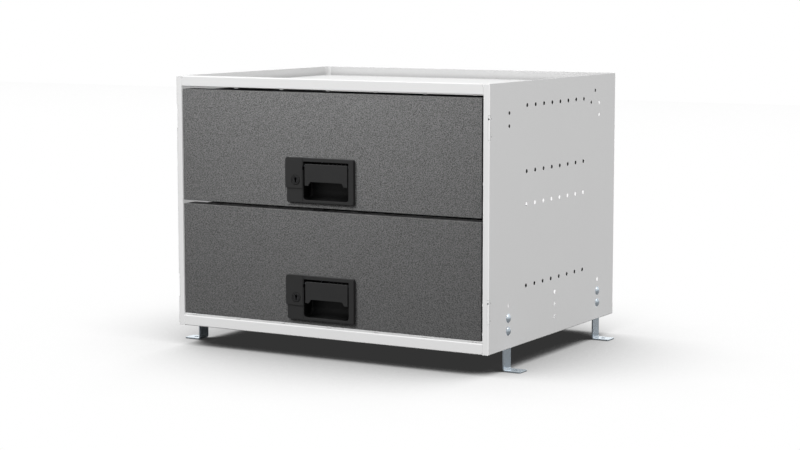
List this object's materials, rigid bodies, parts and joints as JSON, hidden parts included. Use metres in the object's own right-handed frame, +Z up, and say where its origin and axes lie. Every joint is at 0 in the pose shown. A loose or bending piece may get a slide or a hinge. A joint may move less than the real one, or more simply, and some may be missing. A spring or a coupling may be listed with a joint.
{
  "type": "van drawer cabinet",
  "caption": "Low sheet-steel drawer cabinet for a van floor, with a tray top, full-width drawers with paddle latches and locks, and outward floor brackets.",
  "frame": {"origin": "on the floor under the middle of the whole object", "axes": "+Z up, -Y the way the drawers open, +X to the right of someone who looks at the front"},
  "size_m": [0.821, 0.609, 0.579],
  "materials": {
    "pale_grey_powder_coat": "smooth satin powder coat",
    "dark_grey_powder_coat": "pebbled matt powder coat",
    "black_plastic": "fine grain",
    "black_zinc": "satin",
    "zinc_plate": "bright zinc plate"
  },
  "bodies": {
    "carcass": {"top_tray": "pale_grey_powder_coat", "base_pan": "pale_grey_powder_coat", "middle_rail": "pale_grey_powder_coat", "latch_catch_lower": "black_zinc", "latch_catch_upper": "black_zinc", "side_panel_right": "pale_grey_powder_coat", "side_panel_left": "pale_grey_powder_coat", "foot_bracket_front_right": "zinc_plate", "foot_bracket_rear_right": "zinc_plate", "foot_bracket_front_left": "zinc_plate", "foot_bracket_rear_left": "zinc_plate", "nut_plate_front_right": "zinc_plate", "nut_plate_rear_right": "zinc_plate", "nut_plate_front_left": "zinc_plate", "nut_plate_rear_left": "zinc_plate", "foot_bolt_front_right_lower": "zinc_plate", "foot_bolt_front_right_upper": "zinc_plate", "foot_bolt_rear_right_lower": "zinc_plate", "foot_bolt_rear_right_upper": "zinc_plate", "foot_bolt_front_left_lower": "zinc_plate", "foot_bolt_front_left_upper": "zinc_plate", "foot_bolt_rear_left_lower": "zinc_plate", "foot_bolt_rear_left_upper": "zinc_plate", "slide_carrier_lower_right": "dark_grey_powder_coat", "slide_carrier_lower_left": "dark_grey_powder_coat", "slide_carrier_upper_right": "dark_grey_powder_coat", "slide_carrier_upper_left": "dark_grey_powder_coat", "slide_outer_lower_right": "zinc_plate", "slide_outer_lower_left": "zinc_plate", "slide_outer_upper_right": "zinc_plate", "slide_outer_upper_left": "zinc_plate"},
    "lower_drawer": {"drawer_box_lower": "dark_grey_powder_coat", "drawer_front_lower": "dark_grey_powder_coat", "handle_housing_lower": "black_plastic", "lock_cover_lower": "black_plastic", "lock_barrel_lower": "black_plastic", "paddle_pin_lower": "zinc_plate", "paddle_spring_lower": "zinc_plate", "slide_inner_lower_right": "zinc_plate", "slide_inner_lower_left": "zinc_plate"},
    "lower_right_slide_middle": {"slide_middle_lower_right": "zinc_plate"},
    "lower_left_slide_middle": {"slide_middle_lower_left": "zinc_plate"},
    "lower_paddle": {"paddle_lower": "black_plastic"},
    "lower_latch_rod": {"latch_rod_lower": "zinc_plate"},
    "lower_lock_plug": {"lock_plug_lower": "black_zinc"},
    "upper_drawer": {"drawer_box_upper": "dark_grey_powder_coat", "drawer_front_upper": "dark_grey_powder_coat", "handle_housing_upper": "black_plastic", "lock_cover_upper": "black_plastic", "lock_barrel_upper": "black_plastic", "paddle_pin_upper": "zinc_plate", "paddle_spring_upper": "zinc_plate", "slide_inner_upper_right": "zinc_plate", "slide_inner_upper_left": "zinc_plate"},
    "upper_right_slide_middle": {"slide_middle_upper_right": "zinc_plate"},
    "upper_left_slide_middle": {"slide_middle_upper_left": "zinc_plate"},
    "upper_paddle": {"paddle_upper": "black_plastic"},
    "upper_latch_rod": {"latch_rod_upper": "zinc_plate"},
    "upper_lock_plug": {"lock_plug_upper": "black_zinc"}
  },
  "joints": [
    {"name": "lower_drawer_slide", "type": "slide", "parent": "carcass", "child": "lower_drawer", "axis": [0, -1, 0], "range_m": [0, 0.5]},
    {"name": "lower_right_middle_slide", "type": "slide", "parent": "carcass", "child": "lower_right_slide_middle", "axis": [0, -1, 0], "range_m": [0, 0.25]},
    {"name": "lower_left_middle_slide", "type": "slide", "parent": "carcass", "child": "lower_left_slide_middle", "axis": [0, -1, 0], "range_m": [0, 0.25]},
    {"name": "lower_paddle_hinge", "type": "hinge", "parent": "lower_drawer", "child": "lower_paddle", "pos_m": [0.004, -0.297, 0.1576], "axis": [-1, 0, 0], "range_deg": [0, 25], "stiffness_Nm_per_rad": 0.3, "springref_deg": -20.05},
    {"name": "lower_latch_slide", "type": "slide", "parent": "lower_drawer", "child": "lower_latch_rod", "axis": [0, 0, -1], "range_m": [0, 0.01465]},
    {"name": "lower_lock_turn", "type": "hinge", "parent": "lower_drawer", "child": "lower_lock_plug", "pos_m": [-0.069, -0.2955, 0.1279], "axis": [0, 1, 0], "range_deg": [-90, 0]},
    {"name": "upper_drawer_slide", "type": "slide", "parent": "carcass", "child": "upper_drawer", "axis": [0, -1, 0], "range_m": [0, 0.5]},
    {"name": "upper_right_middle_slide", "type": "slide", "parent": "carcass", "child": "upper_right_slide_middle", "axis": [0, -1, 0], "range_m": [0, 0.25]},
    {"name": "upper_left_middle_slide", "type": "slide", "parent": "carcass", "child": "upper_left_slide_middle", "axis": [0, -1, 0], "range_m": [0, 0.25]},
    {"name": "upper_paddle_hinge", "type": "hinge", "parent": "upper_drawer", "child": "upper_paddle", "pos_m": [0.004, -0.297, 0.4016], "axis": [-1, 0, 0], "range_deg": [0, 25], "stiffness_Nm_per_rad": 0.3, "springref_deg": -20.05},
    {"name": "upper_latch_slide", "type": "slide", "parent": "upper_drawer", "child": "upper_latch_rod", "axis": [0, 0, -1], "range_m": [0, 0.01465]},
    {"name": "upper_lock_turn", "type": "hinge", "parent": "upper_drawer", "child": "upper_lock_plug", "pos_m": [-0.069, -0.2955, 0.3719], "axis": [0, 1, 0], "range_deg": [-90, 0]}
  ],
  "couplings": [
    {"joint": "lower_right_middle_slide", "follows": "lower_drawer_slide", "ratio": 0.5},
    {"joint": "lower_left_middle_slide", "follows": "lower_drawer_slide", "ratio": 0.5},
    {"joint": "lower_latch_slide", "follows": "lower_paddle_hinge", "m_per_rad": 0.03357},
    {"joint": "upper_right_middle_slide", "follows": "upper_drawer_slide", "ratio": 0.5},
    {"joint": "upper_left_middle_slide", "follows": "upper_drawer_slide", "ratio": 0.5},
    {"joint": "upper_latch_slide", "follows": "upper_paddle_hinge", "m_per_rad": 0.03357}
  ]
}
